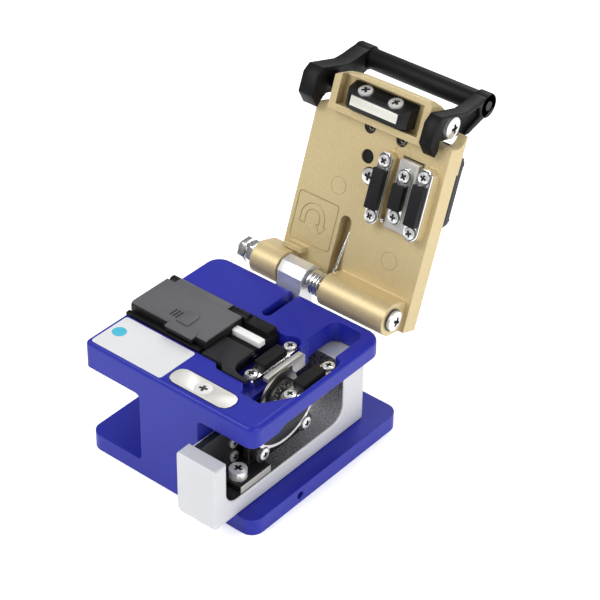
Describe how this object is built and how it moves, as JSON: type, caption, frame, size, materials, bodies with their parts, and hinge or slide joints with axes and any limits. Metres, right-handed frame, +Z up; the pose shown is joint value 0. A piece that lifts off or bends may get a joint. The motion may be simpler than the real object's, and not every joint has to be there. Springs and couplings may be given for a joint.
{
  "type": "optical fibre cleaver",
  "caption": "Bench fibre cleaver: cast body with a blade slider on a rail, a sprung lid with clamp pads and a pry handle, and a sliding fibre holder.",
  "frame": {"origin": "centre of the base plate's underside", "axes": "+X along the fibre to the right, +Y to the hinge at the back, +Z up"},
  "size_m": [0.062, 0.1178, 0.0974],
  "materials": {
    "blue_paint": "satin",
    "gold_paint": "satin",
    "black_metal": "satin",
    "magnet_nickel": "plated",
    "black_rubber": "matte",
    "chrome_steel": "polished",
    "bright_steel": "machined",
    "screw_steel": "satin",
    "cast_aluminium": "bead blasted",
    "dark_steel": "satin",
    "blade_carbide": "ground",
    "dial_metal": "anodised",
    "grey_rubber": "matte",
    "black_plastic": "moulded, matte"
  },
  "bodies": {
    "base": {"body_casting": "blue_paint", "rubber_feet": "black_rubber", "keeper_plate": "bright_steel", "keeper_screw": "screw_steel", "lower_clamp_left": "chrome_steel", "lower_rubber_left": "black_rubber", "lower_clamp_right": "chrome_steel", "lower_rubber_right": "black_rubber", "lower_clamp_screws": "screw_steel", "rest_bar": "bright_steel", "rest_bar_screws": "screw_steel", "linear_rail": "bright_steel", "rail_screws": "screw_steel", "hinge_block": "cast_aluminium", "hinge_block_screws": "screw_steel", "hinge_pin": "bright_steel", "hinge_end_screw": "screw_steel", "hinge_nuts": "bright_steel"},
    "slider": {"slider_casting": "cast_aluminium", "rail_carriage": "bright_steel", "slider_screws": "screw_steel", "blade_arm": "black_metal", "arm_screw": "screw_steel", "blade_guard": "dark_steel", "guard_screws": "screw_steel", "blade_axle": "bright_steel"},
    "wheel": {"blade_wheel": "blade_carbide", "blade_dial": "dial_metal"},
    "lid": {"lid_casting": "gold_paint", "upper_clamp_left": "bright_steel", "upper_rubber_left": "black_rubber", "upper_clamp_right": "bright_steel", "upper_rubber_right": "black_rubber", "upper_clamp_screws": "screw_steel", "anvil_springs": "bright_steel", "magnet_holder": "black_metal", "magnet": "magnet_nickel", "magnet_screws": "screw_steel", "set_screws": "screw_steel", "lid_screw": "screw_steel", "lid_grip_pad": "grey_rubber", "torsion_spring": "bright_steel", "handle_pivot_screws": "screw_steel"},
    "anvil": {"anvil_carrier": "bright_steel", "anvil_plate": "bright_steel", "anvil_rubber": "black_rubber", "anvil_screws": "screw_steel"},
    "handle": {"handle_arm_left": "black_plastic", "handle_arm_right": "black_plastic", "handle_bar": "black_plastic", "handle_rod": "bright_steel"},
    "holder": {"holder_base": "black_plastic", "holder_scale_plate": "black_plastic", "holder_slide_bar": "bright_steel", "holder_flap_pin": "bright_steel"},
    "flap": {"holder_flap": "black_plastic"}
  },
  "joints": [
    {"name": "lid_hinge", "type": "hinge", "parent": "base", "child": "lid", "pos_m": [0, 0.02905, 0.0392], "axis": [1, 0, 0], "range_deg": [0, 109.6], "deforming": ["torsion_spring"]},
    {"name": "slider_travel", "type": "slide", "parent": "base", "child": "slider", "axis": [0, 1, 0], "range_m": [0, 0.0174]},
    {"name": "blade_turn", "type": "hinge", "parent": "slider", "child": "wheel", "pos_m": [0.02005, -0.00935, 0.0303], "axis": [1, 0, 0], "continuous": true},
    {"name": "anvil_press", "type": "slide", "parent": "lid", "child": "anvil", "axis": [0, 0.9421, -0.3355], "range_m": [0, 0.0007], "stiffness_N_per_m": 900, "springref_m": -0.0006, "deforming": ["anvil_springs"]},
    {"name": "handle_pry", "type": "hinge", "parent": "lid", "child": "handle", "pos_m": [0, 0.05625, 0.08875], "axis": [1, 0, 0], "range_deg": [-14, 0]},
    {"name": "holder_slide", "type": "slide", "parent": "base", "child": "holder", "axis": [1, 0, 0], "range_m": [-0.0015, 0]},
    {"name": "flap_hinge", "type": "hinge", "parent": "holder", "child": "flap", "pos_m": [-0.016, 0.00305, 0.0392], "axis": [1, 0, 0], "range_deg": [-100, 0]}
  ]
}
